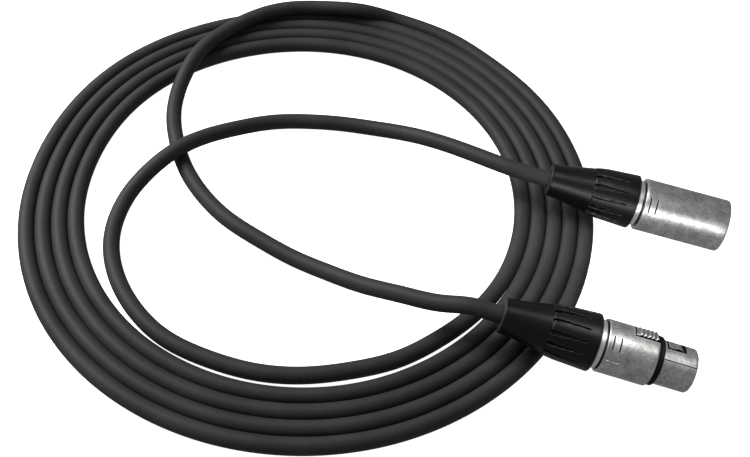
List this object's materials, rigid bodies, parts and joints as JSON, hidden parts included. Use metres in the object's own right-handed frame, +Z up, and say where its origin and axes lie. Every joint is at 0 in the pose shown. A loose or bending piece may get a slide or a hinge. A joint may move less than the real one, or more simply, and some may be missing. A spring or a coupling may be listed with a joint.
{
  "type": "xlr cable coil",
  "caption": "Balanced audio cable lying in a flat coil, with a three-pole male and a three-pole female connector side by side on its ends.",
  "frame": {"origin": "on the surface the cable lies on, midway between the two connectors (the centre of the underside of the box round both connectors, without the cable)", "axes": "+Z up; +X runs along both connectors towards their mating ends, and the coil lies towards -X; +Y runs across them, from the female connector to the male one"},
  "size_m": [0.2766, 0.2306, 0.0256],
  "materials": {
    "jacket": "matte",
    "boot": "satin",
    "collar": "bright",
    "chuck": "satin",
    "nickel": "satin",
    "insert": "matte",
    "latch": "satin",
    "steel": "plain",
    "seal": "matte",
    "contact": "silver plated",
    "copper": "bare strands",
    "wire_red": "gloss",
    "wire_white": "gloss"
  },
  "bodies": {
    "cable_and_shells": {"cable_coil": "jacket", "female_lead": "jacket", "male_lead": "jacket", "male_shell": "nickel", "male_insert": "insert", "male_pin_1": "contact", "male_pin_2": "contact", "male_pin_3": "contact", "male_wire_screen": "copper", "male_wire_hot": "wire_red", "male_wire_cold": "wire_white", "female_shell": "nickel", "female_insert": "insert", "female_socket_1": "contact", "female_socket_2": "contact", "female_socket_3": "contact", "female_latch_pivot": "steel", "female_latch_spring": "steel", "female_ring": "seal", "female_wire_screen": "copper", "female_wire_hot": "wire_red", "female_wire_cold": "wire_white"},
    "male_chuck_body": {"male_chuck": "chuck"},
    "male_boot_body": {"male_boot": "boot", "male_bushing": "collar"},
    "female_chuck_body": {"female_chuck": "chuck"},
    "female_boot_body": {"female_boot": "boot", "female_bushing": "collar"},
    "female_latch_body": {"female_latch": "latch"}
  },
  "joints": [
    {"name": "male_boot_slide", "type": "slide", "parent": "cable_and_shells", "child": "male_chuck_body", "axis": [-0.9925, 0, 0.1219], "range_m": [0, 0.004]},
    {"name": "male_boot_turn", "type": "hinge", "parent": "male_chuck_body", "child": "male_boot_body", "pos_m": [-0.01233, 0.034, 0.01625], "axis": [-0.9925, 0, 0.1219], "range_deg": [0, 1440]},
    {"name": "female_boot_slide", "type": "slide", "parent": "cable_and_shells", "child": "female_chuck_body", "axis": [-0.9866, 0, 0.1633], "range_m": [0, 0.004]},
    {"name": "female_boot_turn", "type": "hinge", "parent": "female_chuck_body", "child": "female_boot_body", "pos_m": [-0.02164, -0.0346, 0.01609], "axis": [-0.9866, 0, 0.1633], "range_deg": [0, 1440]},
    {"name": "latch_press", "type": "hinge", "parent": "cable_and_shells", "child": "female_latch_body", "pos_m": [0.00572, -0.03198, 0.01726], "axis": [-0.069, 0.9063, -0.4169], "range_deg": [0, 3], "stiffness_Nm_per_rad": 0.3, "springref_deg": -2.29, "deforming": ["female_latch_spring"]}
  ],
  "couplings": [
    {"joint": "male_boot_turn", "follows": "male_boot_slide", "rad_per_m": 6283.2},
    {"joint": "female_boot_turn", "follows": "female_boot_slide", "rad_per_m": 6283.2}
  ]
}
